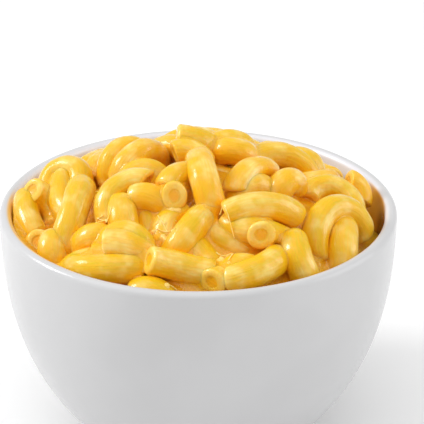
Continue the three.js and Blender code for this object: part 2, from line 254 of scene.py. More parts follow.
# Studio, in metres
FLOOR_SIZE = 3.0
WORLD_STRENGTH = 0.72
LIGHTS = (  # square softboxes: where each stands, how wide it is and its watts
    ("top softbox", (-0.35, 0.0, 1.4), 1.4, 4.8),
    ("left window", (-1.0, 0.15, 0.75), 0.38, 7.0),
    ("right softbox", (1.1, 0.0, 0.5), 0.8, 4.0),
    ("front fill", (0.1, -0.8, 1.1), 1.2, 2.2),
)

# Camera
CAMERA_DISTANCE = 0.56  # metres from the middle of the rim
CAMERA_ELEVATION = math.radians(24.6)
FRAME_SIDE = 424  # pixels, as are the next three
FOCAL_LENGTH = 1707
RIM_MIDDLE_X = 198.3  # where the middle of the rim stands in the frame, from its left
RIM_MIDDLE_Y = 203.0  # and from its top
SENSOR = 36  # mm

# Node kinds, and the setting that makes a range smooth
MATH = "ShaderNodeMath"
VECTOR_MATH = "ShaderNodeVectorMath"
NOISE = "ShaderNodeTexNoise"
RANGE = "ShaderNodeMapRange"
MIX = "ShaderNodeMix"
COORDINATES = "ShaderNodeTexCoord"
ATTRIBUTE = "ShaderNodeAttribute"
POINT_ATTRIBUTE = "GeometryNodeInputNamedAttribute"
SMOOTH = {"interpolation_type": "SMOOTHSTEP"}


# ------------------------------------------------------------------------------------------ small helpers

def srgb(code):
    """A linear colour from its sRGB hex code."""
    values = [int(code[i:i + 2], 16) / 255 for i in (1, 3, 5)]
    return [v / 12.92 if v <= 0.04045 else ((v + 0.055) / 1.055) ** 2.4 for v in values] + [1]


def add(tree, kind, inputs=(), **settings):
    """Adds a node with its settings, and gives its inputs, in order or by name, their values or links.

    Inputs that the settings switch off aren't counted. A node as a value stands for its first live output.
    """
    node = tree.nodes.new(kind)
    for name, value in settings.items():
        setattr(node, name, value)
    if isinstance(inputs, dict):
        pairs = [(node.inputs[name], value) for name, value in inputs.items()]
    else:
        pairs = zip([socket for socket in node.inputs if socket.enabled], inputs)
    for socket, value in pairs:
        if isinstance(value, bpy.types.Node):
            value = next(output for output in value.outputs if output.enabled)
        if isinstance(value, bpy.types.NodeSocket):
            tree.links.new(value, socket)
        else:
            socket.default_value = value
    return node


def piece(name, mesh, material, node):
    """Finishes a piece: smooth, painted, riding on the dish in place of a CAD node."""
    obj = bpy.data.objects.new(name, mesh)
    bpy.context.collection.objects.link(obj)
    mesh.materials.clear()
    mesh.materials.append(material)
    mesh.shade_smooth()
    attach(obj, BODY)
    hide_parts(node)


def mesh_from(name, points, faces):
    """A mesh in metres from points in mm."""
    mesh = bpy.data.meshes.new(name)
    mesh.from_pydata(np.asarray(points) * MM, [], faces)
    mesh.update()
    return mesh


def points_of(mesh):
    """The points of a mesh, in its own unit."""
    points = np.empty(len(mesh.vertices) * 3)
    mesh.vertices.foreach_get("co", points)
    return points.reshape(-1, 3)


def keep(mesh, name, values):
    """Keeps a number or a vector for each point of a mesh, which Geometry Nodes or a material then reads."""
    values = np.array(values, float)
    kind, field = ("FLOAT_VECTOR", "vector") if values.ndim == 2 else ("FLOAT", "value")
    mesh.attributes.new(name, kind, "POINT").data.foreach_set(field, values.ravel())


def revolve(profile, steps):
    """Turns (radius, height) points round Z. Where the profile meets the axis, it closes in a fan."""
    points, faces, rings = [], [], []
    for r, z in profile:
        if r == 0:
            rings.append([len(points)] * steps)
            points.append((0, 0, z))
            continue
        rings.append(list(range(len(points), len(points) + steps)))
        for i in range(steps):
            a = 2 * math.pi * i / steps
            points.append((r * math.cos(a), r * math.sin(a), z))
    for low, high in zip(rings, rings[1:]):
        for i in range(steps):
            j = (i + 1) % steps
            corners = (low[i], low[j], high[j], high[i])
            faces.append(tuple(dict.fromkeys(corners)))
    return points, faces


# --------------------------------------------------------------------------------------------- the layout

def heap_level(x, y):
    """Level of the tube centres in the heap's top layer, above the rim."""
    t = np.clip(y / BACK_RUN, 0, 1)
    drop = BACK_DROP * t * t * (3 - 2 * t)
    return CROWN - FALL * (x * x + y * y) / HEAP_RADIUS ** 2 - TILT * y - drop


def heap_normal(x, y):
    """The way that the heap's level faces at a spot."""
    dx = heap_level(x + SLOPE_STEP, y) - heap_level(x - SLOPE_STEP, y)
    dy = heap_level(x, y + SLOPE_STEP) - heap_level(x, y - SLOPE_STEP)
    normal = np.array((-dx, -dy, 2 * SLOPE_STEP))
    return normal / np.linalg.norm(normal)


def elbow_arc(start, middle, end):
    """The circular arc through three points, as its centre, two arms at right angles and its sweep."""
    start, middle, end = (np.array(p, float) for p in (start, middle, end))
    a, b = middle - start, end - start
    axis = np.cross(a, b)
    to_centre = np.cross(axis, a) * b.dot(b) + np.cross(b, axis) * a.dot(a)
    centre = start + to_centre / (2 * axis.dot(axis))
    u = start - centre
    v = np.cross(axis / np.linalg.norm(axis), u)
    arm = end - centre
    sweep = math.atan2(arm.dot(v), arm.dot(u)) % (2 * math.pi)
    return centre, u, v, sweep


def arc_points(arc):
    """Points spread evenly along an arc."""
    centre, u, v, sweep = arc
    a = np.linspace(0, sweep, ARC_POINTS)[:, None]
    return centre + u * np.cos(a) + v * np.sin(a)


def drawer(seed):
    """Park and Miller's generator: the same numbers on every run."""
    state = seed

    def draw(low, high):
        nonlocal state
        state = state * DRAW_FACTOR % DRAW_RANGE
        return low + (high - low) * state / DRAW_RANGE

    return draw


def lying_elbow(x, y, z, heading, roll, length, bend):
    """An elbow on the heap at (x, y): its chord along heading, its bulge rolled off the heap's normal."""
    normal = heap_normal(x, y)
    chord = np.array((math.cos(heading), math.sin(heading), 0))
    chord -= normal * chord.dot(normal)
    chord /= np.linalg.norm(chord)
    side = np.cross(normal, chord)
    bulge = normal * math.cos(roll) + side * math.sin(roll)
    radius = length / bend
    half = radius * math.sin(bend / 2)
    rise = radius * (1 - math.cos(bend / 2))
    middle = np.array((x, y, z)) + bulge * rise / 2
    return elbow_arc(middle - chord * half - bulge * rise, middle, middle + chord * half - bulge * rise)


def clearance(points, placed):
    """The least gap between a try's points and those already placed."""
    gaps = placed[:, None] - points[None, :]
    return math.sqrt((gaps * gaps).sum(-1).min())


def fill_elbows(arcs, seed, slots, lift, front, room):
    """Each slot of a sunflower pattern takes the try that lies clearest of the pieces already there."""
    draw = drawer(seed)
    placed = np.concatenate([arc_points(arc) for arc in arcs])
    for i in range(slots):
        r = FILL_RADIUS * math.sqrt((i + 0.5) / slots)
        a = i * GOLDEN_ANGLE
        best, most = None, room
        for _ in range(FILL_TRIES):
            x = r * math.cos(a) + draw(-FILL_SHIFT, FILL_SHIFT)
            y = r * math.sin(a) + draw(-FILL_SHIFT, FILL_SHIFT)
            heading = draw(0, 2 * math.pi)
            roll = draw(-FILL_ROLL, FILL_ROLL)
            length = draw(*FILL_LENGTH)
            bend = math.radians(draw(*FILL_BEND))
            z = heap_level(x, y) + lift + draw(*FILL_LIFT)
            arc = lying_elbow(x, y, z, heading, roll, length, bend)
            points = arc_points(arc)
            if y < front or np.hypot(points[:, 0], points[:, 1]).max() > FILL_REACH:
                continue
            gap = clearance(points, placed)
            if gap > most:
                best, most = arc, gap
        if best:
            placed = np.concatenate([placed, arc_points(best)])
            arcs.append(best)


def lay_elbows():
    """Every elbow of the heap as its arc, in the object's frame."""
    arcs = [elbow_arc(*points) for points in ELBOWS]
    for rule in FILL:
        fill_elbows(arcs, **rule)
    return [(centre + (0, 0, RIM), u, v, sweep) for centre, u, v, sweep in arcs]


# ----------------------------------------------------------------------------------------------- the bowl

def wall_radius(lip_radius, closing_depth, z):
    """Radius of a wall at a height: upright at the lip, and curving in to close on the axis."""
    share = 1 - ((LIP_LEVEL - z) / closing_depth) ** CURVE_POWER
    return lip_radius * share ** (1 / CURVE_ROOT)


def cavity_radius(z):
    """Radius of the inner wall, straight up from the lip's level."""
    return wall_radius(INNER_RADIUS, CAVITY_DEPTH, np.minimum(z, LIP_LEVEL))


def wall_heights(top, bottom):
    """Heights down a wall, closer together towards the bottom, where it turns in."""
    t = np.sin(np.linspace(0, math.pi / 2, BOWL_WALL_STEPS + 1))
    return top + (bottom - top) * t


def bowl_profile():
    """Half the bowl's section as (radius, height): under the foot, up the outside, over the lip and down."""
    profile = [
        (0, FOOT_RECESS),
        (FOOT_INNER - 2 * FOOT_EASE, FOOT_RECESS),
        (FOOT_INNER - FOOT_EASE / 2, FOOT_RECESS / 2),
        (FOOT_INNER, 0),
        (FOOT_OUTER - FOOT_EASE / 2, 0),
        (FOOT_OUTER, 0),
        (FOOT_OUTER + FOOT_EASE / 2, FOOT_EASE / 3),
        (FOOT_OUTER + FOOT_EASE, FOOT_EASE),
        (FOOT_OUTER + 2 * FOOT_EASE, FOOT_HEIGHT / 2),
    ]
    outside = wall_heights(LIP_LEVEL, FOOT_HEIGHT)[::-1]
    profile += [(wall_radius(RIM_RADIUS, BODY_DEPTH, z), z) for z in outside]
    for i in range(1, LIP_STEPS):
        a = math.pi * i / LIP_STEPS
        across = RIM_RADIUS - LIP_RADIUS + LIP_RADIUS * math.cos(a)
        profile.append((across, LIP_LEVEL + LIP_RADIUS * math.sin(a)))
    profile += [(cavity_radius(z), z) for z in wall_heights(LIP_LEVEL, FLOOR_HEIGHT)]
    return profile + [(0, FLOOR_HEIGHT)]


def keep_inside(mesh):
    """Keeps where each point of the bowl is: 1 on the inner wall, 0 outside, between the two on the lip."""
    x, y, z = points_of(mesh).T / MM
    radius = np.hypot(x, y)
    across_lip = (RIM_RADIUS - radius) / WALL
    below_lip = (radius < cavity_radius(z) + LIP_RADIUS / 2) & (z > FLOOR_HEIGHT - FOOT_EASE)
    keep(mesh, "inside", np.where(z > LIP_LEVEL, across_lip, below_lip))


def make_bowl():
    mesh = mesh_from("bowl_porcelain", *revolve(bowl_profile(), BOWL_ROUND_STEPS))
    keep_inside(mesh)
    piece("porcelain_bowl", mesh, glazed_porcelain(), "bowl")


# ------------------------------------------------------------------------------------------- the macaroni

def blank_profile():
    """Half the section of a straight elbow blank, as (radius, place along it), mouth to mouth."""
    mouth = [(BORE_RADIUS * across, PLUG_DEPTH * down) for across, down in PLUG_DISH]
    inner = BORE_RADIUS + BORE_ROUND
    for i in range(BORE_STEPS + 1):
        a = math.pi / 2 * i / BORE_STEPS
        mouth.append((inner - BORE_ROUND * math.cos(a), PLUG_DEPTH * PLUG_EDGE * (1 - math.sin(a))))
    outer = TUBE_RADIUS - MOUTH_ROUND
    for i in range(MOUTH_STEPS + 1):
        a = math.pi / 2 * i / MOUTH_STEPS
        mouth.append((outer + MOUTH_ROUND * math.sin(a), MOUTH_ROUND * (1 - math.cos(a))))
    places = np.linspace(MOUTH_ROUND, BLANK_LENGTH - MOUTH_ROUND, BLANK_STEPS + 1)[1:-1]
    far_mouth = [(r, BLANK_LENGTH - s) for r, s in reversed(mouth)]
    return mouth + [(TUBE_RADIUS, s) for s in places] + far_mouth


def make_blank():
    """The straight blank along Z. It keeps each point's place as section: (x, y, share of the length)."""
    points, faces = revolve(blank_profile(), BLANK_SIDES)
    mesh = bpy.data.meshes.new("elbow_blank")
    mesh.from_pydata(points, [], [face[::-1] for face in faces])
    keep(mesh, "section", np.array(points) / (1, 1, BLANK_LENGTH))
    return bpy.data.objects.new("elbow_blank", mesh)


def bent_place(tree, given):
    """Where each point comes to lie: along its elbow's arc, and off it by its place in the tube's section."""
    centre, arm_u, arm_v, section = (
        add(tree, POINT_ATTRIBUTE, (name,), data_type="FLOAT_VECTOR")
        for name in ("centre", "arm_u", "arm_v", "section")
    )
    sweep, cut_draw, flat_draw = (
        add(tree, POINT_ATTRIBUTE, (name,), data_type="FLOAT") for name in ("sweep", "cut_draw", "flat_draw")
    )
    x, y, share = add(tree, "ShaderNodeSeparateXYZ", (section,)).outputs

    # the ends are cut a little askew: a point's place along the arc shifts with its place across it
    lean = add(tree, MATH, (cut_draw, 0.5), operation="SUBTRACT")
    slant = add(tree, MATH, (lean, given["Cut slant"]), operation="MULTIPLY")
    leaning = add(tree, MATH, (x, slant), operation="MULTIPLY")
    off_middle = add(tree, MATH, (share, 0.5), operation="SUBTRACT")
    end_to_end = add(tree, MATH, (off_middle, 2.0), operation="MULTIPLY")
    askew = add(tree, MATH, (leaning, end_to_end), operation="MULTIPLY")
    place = add(tree, MATH, (share, askew), operation="ADD")
    angle = add(tree, MATH, (place, sweep), operation="MULTIPLY")

    # cooked tubes sag a little flat towards the inside of their bend, and widen across it
    flat = add(tree, MATH, (flat_draw, given["Flattening"]), operation="MULTIPLY")
    thinner = add(tree, MATH, (1.0, flat), operation="SUBTRACT")
    wider = add(tree, MATH, (flat, WIDENING, 1.0), operation="MULTIPLY_ADD")
    across = add(tree, MATH, (x, thinner), operation="MULTIPLY")
    along_axis = add(tree, MATH, (y, wider), operation="MULTIPLY")

    cosine, sine = (add(tree, MATH, (angle,), operation=name) for name in ("COSINE", "SINE"))
    part_u = add(tree, VECTOR_MATH, (arm_u, cosine), operation="SCALE")
    part_v = add(tree, VECTOR_MATH, (arm_v, sine), operation="SCALE")
    arm = add(tree, VECTOR_MATH, (part_u, part_v), operation="ADD")
    radius = add(tree, VECTOR_MATH, (arm_u,), operation="LENGTH")
    shift = add(tree, MATH, (across, radius), operation="DIVIDE")
    stretch = add(tree, MATH, (1.0, shift), operation="ADD")
    stretched = add(tree, VECTOR_MATH, (arm, stretch), operation="SCALE")
    in_plane = add(tree, VECTOR_MATH, (centre, stretched), operation="ADD")

    cross = add(tree, VECTOR_MATH, (arm_u, arm_v), operation="CROSS_PRODUCT")
    axis = add(tree, VECTOR_MATH, (cross,), operation="NORMALIZE")
    sideways = add(tree, VECTOR_MATH, (axis, along_axis), operation="SCALE")
    return add(tree, VECTOR_MATH, (in_plane, sideways), operation="ADD")


def uneven_push(tree, given):
    """How far the skin is pushed about at each point, in soft lumps."""
    place = add(tree, "GeometryNodeInputPosition")
    # the place is scaled here, because the noise's own scale would scale its seed as well
    fineness = add(tree, MATH, (1.0, given["Lump size"]), operation="DIVIDE")
    scaled = add(tree, VECTOR_MATH, (place, fineness), operation="SCALE")
    lumps = add(tree, NOISE, {"Vector": scaled, "W": given["Seed"], "Scale": 1.0, "Detail": 1.5},
                noise_dimensions="4D")
    both_ways = add(tree, VECTOR_MATH, (lumps.outputs["Color"], (0.5, 0.5, 0.5)), operation="SUBTRACT")
    return add(tree, VECTOR_MATH, (both_ways, given["Unevenness"]), operation="SCALE")


def bending_tree():
    """Geometry Nodes: sets the blank on every point, bends it along that point's arc and makes it uneven."""
    tree = bpy.data.node_groups.new("Bent elbows", "GeometryNodeTree")
    sockets = {"Geometry": "Geometry", "Blank": "Object", "Material": "Material", "Seed": "Float"}
    sockets |= dict.fromkeys(ELBOW_SHAPE, "Float")
    for name, kind in sockets.items():
        tree.interface.new_socket(name, in_out="INPUT", socket_type="NodeSocket" + kind)
    tree.interface.new_socket("Geometry", in_out="OUTPUT", socket_type="NodeSocketGeometry")
    given = add(tree, "NodeGroupInput").outputs
    blank = add(tree, "GeometryNodeObjectInfo", {"Object": given["Blank"]}).outputs["Geometry"]
    placed = add(tree, "GeometryNodeInstanceOnPoints", {"Points": given["Geometry"], "Instance": blank})
    real = add(tree, "GeometryNodeRealizeInstances", {"Geometry": placed})
    bent = add(tree, "GeometryNodeSetPosition", {"Geometry": real, "Position": bent_place(tree, given)})
    uneven = add(tree, "GeometryNodeSetPosition", {"Geometry": bent, "Offset": uneven_push(tree, given)})
    painted = add(tree, "GeometryNodeSetMaterial", {"Geometry": uneven, "Material": given["Material"]})
    add(tree, "NodeGroupOutput", {"Geometry": painted})
    return tree


def bend_elbows(name, arcs, seed, tree, blank, material):
    """One mesh of the elbows that follow these arcs."""
    draws = np.random.default_rng(seed)
    mesh = bpy.data.meshes.new(name)
    mesh.from_pydata([arc[0] for arc in arcs], [], [])
    for key, values in zip(("centre", "arm_u", "arm_v", "sweep"), zip(*arcs)):
        keep(mesh, key, values)
    for key in ("cut_draw", "flat_draw", "tone"):
        keep(mesh, key, draws.random(len(arcs)))
    holder = bpy.data.objects.new(name, mesh)
    bpy.context.collection.objects.link(holder)
    modifier = holder.modifiers.new("Bent elbows", "NODES")
    modifier.node_group = tree
    settings = {"Blank": blank, "Material": material, "Seed": float(seed)} | ELBOW_SHAPE
    for item in tree.interface.items_tree:
        if item.name in settings:
            modifier[item.identifier] = settings[item.name]
    evaluated = holder.evaluated_get(bpy.context.evaluated_depsgraph_get())
    result = bpy.data.meshes.new_from_object(evaluated)
    holder.modifiers.clear()
    bpy.data.objects.remove(holder)
    result.vertices.foreach_set("co", points_of(result).ravel() * MM)
    result.update()
    return result


# ---------------------------------------------------------------------------------------------- the sauce

class DistanceGrid:
    """A regular grid over the bowl, in mm, for the signed distance to the heap's surface, negative inside."""

    def __init__(self, low, high):
        self.low = np.array(low, float)
        self.count = np.ceil((np.array(high) - self.low) / VOXEL).astype(int) + 1
        axes = [self.low[i] + VOXEL * np.arange(self.count[i]) for i in range(3)]
        self.x, self.y, self.z = np.meshgrid(*axes, indexing="ij", sparse=True)

    def window(self, low, high):
        """The part of the grid between two corners."""
        first = np.clip(((low - self.low) / VOXEL).astype(int), 0, self.count)
        last = np.clip(((high - self.low) / VOXEL).astype(int) + 2, 0, self.count)
        return tuple(slice(a, b) for a, b in zip(first, last))

    def offsets(self, window, centre):
        """How far the window's points lie from a centre, along x, y and z."""
        x = self.x[window[0]] - centre[0]
        y = self.y[:, window[1]] - centre[1]
        z = self.z[:, :, window[2]] - centre[2]
        return x, y, z

    def sample(self, points):
        """Trilinear reading of the distance at each point."""
        place = (points - self.low) / VOXEL
        place = np.clip(place, 0, np.array(self.count) - 1.001)  # just short of the last point of the grid
        base = place.astype(int)
        part = place - base
        total = np.zeros(len(points))
        for corner in np.ndindex(2, 2, 2):
            weight = np.prod(np.where(corner, part, 1 - part), axis=1)
            total += weight * self.distance[tuple((base + corner).T)]
        return total


def melt(a, b, blend):
    """The union of two shapes, with a fillet where they meet."""
    overlap = np.clip(blend - np.abs(a - b), 0, None) / blend
    return np.minimum(a, b) - overlap * overlap * blend / 4


def elbow_distance(grid, window, arc, radius, end_sink):
    """Signed distance to one elbow, cut square end_sink short of its ends."""
    centre, u, v, sweep = arc
    reach = np.linalg.norm(u)
    axis = np.cross(u, v) / reach ** 2
    x, y, z = grid.offsets(window, centre)
    along_u = (x * u[0] + y * u[1] + z * u[2]) / reach
    along_v = (x * v[0] + y * v[1] + z * v[2]) / reach
    off = x * axis[0] + y * axis[1] + z * axis[2]
    half = sweep / 2
    angle = np.arctan2(along_v, along_u) - half
    angle = (angle + math.pi) % (2 * math.pi) - math.pi
    held = np.clip(angle, -half, half)
    foot_u, foot_v = reach * np.cos(held + half), reach * np.sin(held + half)
    tube = np.sqrt((along_u - foot_u) ** 2 + (along_v - foot_v) ** 2 + off ** 2) - radius
    past_end = reach * np.abs(angle) - (reach * half - end_sink)
    return np.maximum(tube, past_end)


def core_distance(grid):
    """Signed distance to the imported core, which climbs the wall on the left."""
    to_wall = np.clip((np.hypot(grid.x, grid.y) - CLING_START) / (INNER_RADIUS - CLING_START), 0, 1)
    climb = CLING * to_wall * np.clip(-grid.x / INNER_RADIUS, 0, 1)
    return (grid.z - RIM - heap_level(grid.x, grid.y) + SAUCE_SINK - climb) / LEVEL_SLOPE


def heap_distance(arcs):
    """The heap as the sauce shows it: a packed core and every elbow, melted together inside the bowl."""
    side = INNER_RADIUS + GRID_MARGIN
    grid = DistanceGrid((-side, -side, FLOOR_HEIGHT - GRID_MARGIN), (side, side, RIM + CROWN + GRID_HEADROOM))
    field = core_distance(grid)
    margin = TUBE_RADIUS + FAR
    for arc in arcs:
        points = arc_points(arc)
        window = grid.window(points.min(0) - margin, points.max(0) + margin)
        tube = elbow_distance(grid, window, arc, TUBE_RADIUS - SAUCE_SHRINK, END_SINK)
        field[window] = melt(field[window], tube, SAUCE_BLEND)
    wall = np.hypot(grid.x, grid.y) - (cavity_radius(grid.z) - WALL_GAP)
    field = np.maximum(field, wall)
    grid.distance = np.maximum(field, FLOOR_HEIGHT + WALL_GAP - grid.z)
    return grid


def surface_height(grid, x, y):
    """Height of the heap's surface over one spot."""
    z = np.arange(RIM + CROWN + LOOK_ABOVE, RIM - LOOK_BELOW, -LOOK_STEP)
    points = np.column_stack((np.full(len(z), x), np.full(len(z), y), z))
    return z[np.argmax(grid.sample(points) < SAUCE_SHRINK)]


def drop_curds(grid):
    """Melts small lumps of curdled cheese into the sauce and gives back their centres and radii."""
    draw = drawer(CURD_SEED)
    curds = []
    for x, y, spread, count in CURDS:
        for _ in range(count):
            a, r = draw(0, 2 * math.pi), spread * math.sqrt(draw(0, 1))
            place = (x + r * math.cos(a), y + r * math.sin(a))
            curds.append((*place, surface_height(grid, *place) - CURD_SINK, draw(*CURD_RADIUS)))
    for *centre, radius in curds:
        window = grid.window(np.array(centre) - FAR, np.array(centre) + FAR)
        x, y, z = grid.offsets(window, centre)
        lump = np.sqrt(x * x + y * y + z * z) - radius
        grid.distance[window] = melt(grid.distance[window], lump, radius)
    return np.array(curds)


def keep_curdled(mesh, curds):
    """Keeps, for each point of the sauce, how much it belongs to a curd."""
    points = points_of(mesh) / MM
    share = np.zeros(len(points))
    for *centre, radius in curds:
        gap = np.linalg.norm(points - centre, axis=1) - radius
        share = np.maximum(share, np.clip(1 - gap / CURD_FADE, 0, 1))
    keep(mesh, "curdled", share)


def keep_openness(mesh, grid):
    """Keeps, for each point of a mesh, how open the view is above it: 0 deep in a gap, 1 on a free crest."""
    points = points_of(mesh) / MM
    normals = np.empty(points.size)
    mesh.vertex_normals.foreach_get("vector", normals)
    normals = normals.reshape(-1, 3)
    total = np.zeros(len(points))
    for reach in OPENNESS_REACHES:
        total += np.clip(grid.sample(points + normals * reach) / reach, 0, 1)
    keep(mesh, "openness", total / len(OPENNESS_REACHES))


def sauce_mesh(grid):
    """The sauce's surface as a closed mesh."""
    volume = openvdb.FloatGrid(background=FAR)
    volume.copyFromArray(np.clip(grid.distance, -FAR, FAR).astype(np.float32) / VOXEL)
    points, triangles, quads = volume.convertToPolygons(isovalue=0.0, adaptivity=ADAPTIVITY)
    faces = [tuple(face) for face in quads] + [tuple(face) for face in triangles]
    return mesh_from("cheese_sauce", points * VOXEL + grid.low, faces)


# -------------------------------------------------------------------------------------------- the threads

def string_path(grid, start, end):
    """A thread's points: it hangs between its ends, or lies on whatever it touches."""
    share = np.linspace(0, 1, STRING_STEPS)
    flat = start + (end - start) * share[:, None]
    below = np.array([surface_height(grid, *place) for place in flat])
    hang = below[0] + (below[-1] - below[0]) * share
    hang -= 4 * STRING_SAG * np.linalg.norm(end - start) * share * (1 - share)
    height = np.maximum(hang, below + STRING_RADIUS * STRING_REST)
    for _ in range(STRING_SMOOTHING):
        height[1:-1] = (height[:-2] + 2 * height[1:-1] + height[2:]) / 4
    return np.column_stack((flat, height))


def string_radii(start):
    """A thread's radius along it: thinner in the middle, with a few beads, which differ with its start."""
    share = np.linspace(0, 1, STRING_STEPS)
    flare = STRING_WAIST + STRING_FLARE * (share - 0.5) ** 2
    return STRING_RADIUS * (flare + STRING_BEADS * np.sin(share * STRING_BEAD_TURNS + start[0]) ** 2)


def string_skin(path, radii, first):
    """A closed tube round a path, pointed at both ends. Its faces count the points from first."""
    along = np.gradient(path, axis=0)
    along /= np.linalg.norm(along, axis=1)[:, None]
    side = np.cross(along, (0, 0, 1))
    side /= np.linalg.norm(side, axis=1)[:, None]
    up = np.cross(side, along)
    points, faces = [path[0]], []
    for i in range(STRING_STEPS):
        for k in range(STRING_SIDES):
            a = 2 * math.pi * k / STRING_SIDES
            points.append(path[i] + radii[i] * (side[i] * math.cos(a) + up[i] * math.sin(a)))
    points.append(path[-1])
    last = first + len(points) - 1
    for i in range(STRING_STEPS - 1):
        ring = first + 1 + i * STRING_SIDES
        for k in range(STRING_SIDES):
            j = (k + 1) % STRING_SIDES
            faces.append((ring + k, ring + STRING_SIDES + k, ring + STRING_SIDES + j, ring + j))
    for k in range(STRING_SIDES):
        j = (k + 1) % STRING_SIDES
        faces.append((first, first + 1 + k, first + 1 + j))
        faces.append((last, last - STRING_SIDES + j, last - STRING_SIDES + k))
    return points, faces


def cheese_strings(grid):
    """The threads of melted cheese, as one mesh."""
    points, faces = [], []
    for ends in STRINGS:
        start, end = (np.array(place, float) for place in ends)
        more_points, more_faces = string_skin(string_path(grid, start, end), string_radii(start), len(points))
        points += more_points
        faces += more_faces
    return mesh_from("cheese_strings", np.array(points), faces)


# ------------------------------------------------------------------------------------------- the finishes

def new_material(name):
    """A material with an empty node tree."""
    material = bpy.data.materials.new(name)
    material.use_nodes = True
    material.node_tree.nodes.clear()
    return material


def finish(material, colour, relief, rest):
    """Ends a material: its colour, its relief in layers of (height, depth in mm), and its other inputs."""
    tree = material.node_tree
    normal = {}
    for height, depth in relief:
        normal = {"Normal": add(tree, "ShaderNodeBump", {"Height": height, "Distance": depth * MM} | normal)}
    surface = add(tree, "ShaderNodeBsdfPrincipled", {"Base Color": colour} | normal | rest)
    add(tree, "ShaderNodeOutputMaterial", {"Surface": surface})
    return material


def tint(tree, colour, layers):
    """Lays layers of colour on one another.

    Each layer is a value, the two places on it between which the layer's share changes, the share at either
    place, and the colour.
    """
    for value, start, end, low, high, code in layers:
        share = add(tree, RANGE, (value, start, end, low, high), **SMOOTH)
        colour = add(tree, MIX, (share, colour, srgb(code)), data_type="RGBA")
    return colour


def colour_by_openness(tree, tones):
    """The colour for how open the view is above each point, between the (openness, sRGB code) tones: painted
    light and shade.
    """
    openness = add(tree, ATTRIBUTE, attribute_name="openness").outputs["Fac"]
    node = add(tree, "ShaderNodeValToRGB", (openness,))
    elements = node.color_ramp.elements
    while len(elements) < len(tones):
        elements.new(0.5)
    for element, (place, code) in zip(elements, tones):
        element.position = place
        element.color = srgb(code)
    return node


def glazed_porcelain():
    """White porcelain under a clear fired glaze: glossy, with a ripple that shows only in its reflections.

    Sauce has left thin films on the lip's inner edge at the left. The inner wall at the right is painted
    amber and dark brown, partly a sauce film and partly painted shade and painted reflection of the pasta,
    and the whole inner wall is painted brighter as painted light.
    """
    material = new_material("glazed porcelain")
    tree = material.node_tree
    place = add(tree, COORDINATES).outputs["Object"]
    inside = add(tree, ATTRIBUTE, attribute_name="inside").outputs["Fac"]
    # the glaze ripples every 9 mm or so, and its tone changes over 30 mm
    ripple, cast = (add(tree, NOISE, {"Vector": place, "Scale": 1 / (size * MM)}) for size in (9.0, 30.0))
    colour = tint(tree, srgb("#C3C3C4"), (
        (cast, 0.35, 0.65, 0.0, 1.0, "#C6C6C7"),
        (inside, 0.5, 1.0, 0.0, 1.0, "#E6EAF6"),  # painted light: the inner wall painted brighter and bluer, against the shade and warm bounced light it gets from the pasta
    ))
    # films of sauce, and at the right painted shade and painted reflection of the pasta
    for spot, reach, code, strength, start in SAUCE_FILMS_AND_PAINTED_SHADE:
        gap = add(tree, VECTOR_MATH, (place, [c * MM for c in spot]), operation="DISTANCE")
        patch = add(tree, RANGE, (gap, reach * MM, reach * FILM_CORE * MM, 0.0, strength), **SMOOTH)
        below_lip = add(tree, RANGE, (inside, start, min(start + FILM_EDGE, 1.0)), **SMOOTH)
        share = add(tree, MATH, (patch, below_lip), operation="MULTIPLY")
        colour = add(tree, MIX, (share, colour, srgb(code)), data_type="RGBA")
    return finish(material, colour, ((ripple, 0.03),), {
        "Roughness": add(tree, RANGE, (ripple, 0.3, 0.7, 0.2, 0.26), **SMOOTH),
        "IOR": 1.5,
    })


